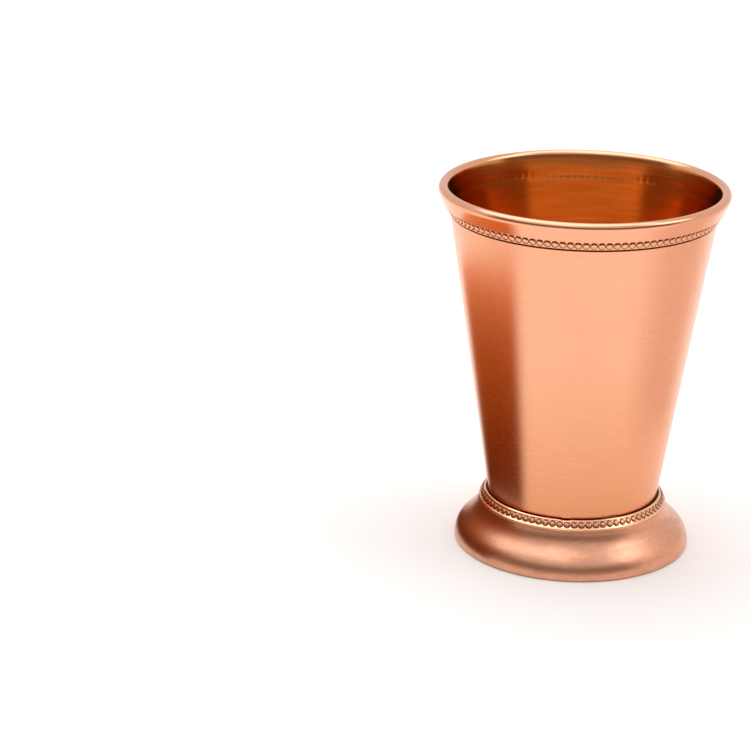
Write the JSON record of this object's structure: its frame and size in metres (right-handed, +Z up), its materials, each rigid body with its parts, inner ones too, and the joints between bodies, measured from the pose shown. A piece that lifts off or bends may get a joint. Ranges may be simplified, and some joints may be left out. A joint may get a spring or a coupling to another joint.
{
  "type": "beaded metal cup",
  "caption": "Tapered copper-coloured aluminium cup with a beaded border under its turned-down rim, standing on a flared hollow foot with a beaded collar.",
  "frame": {"origin": "centre of the foot's resting edge, on the table", "axes": "+Z up along the cup's axis, -Y towards the viewer of the picture"},
  "size_m": [0.0824, 0.0824, 0.1068],
  "materials": {
    "spun_sheet": "copper-coloured, satin, brushed round the axis",
    "beaded_strip": "copper-coloured, rolled beads, satin",
    "bonding_compound": "matte, cured"
  },
  "bodies": {
    "root": {"cup_body": "spun_sheet", "foot": "spun_sheet", "bead_collar": "beaded_strip", "seam_bond": "bonding_compound"}
  },
  "joints": []
}
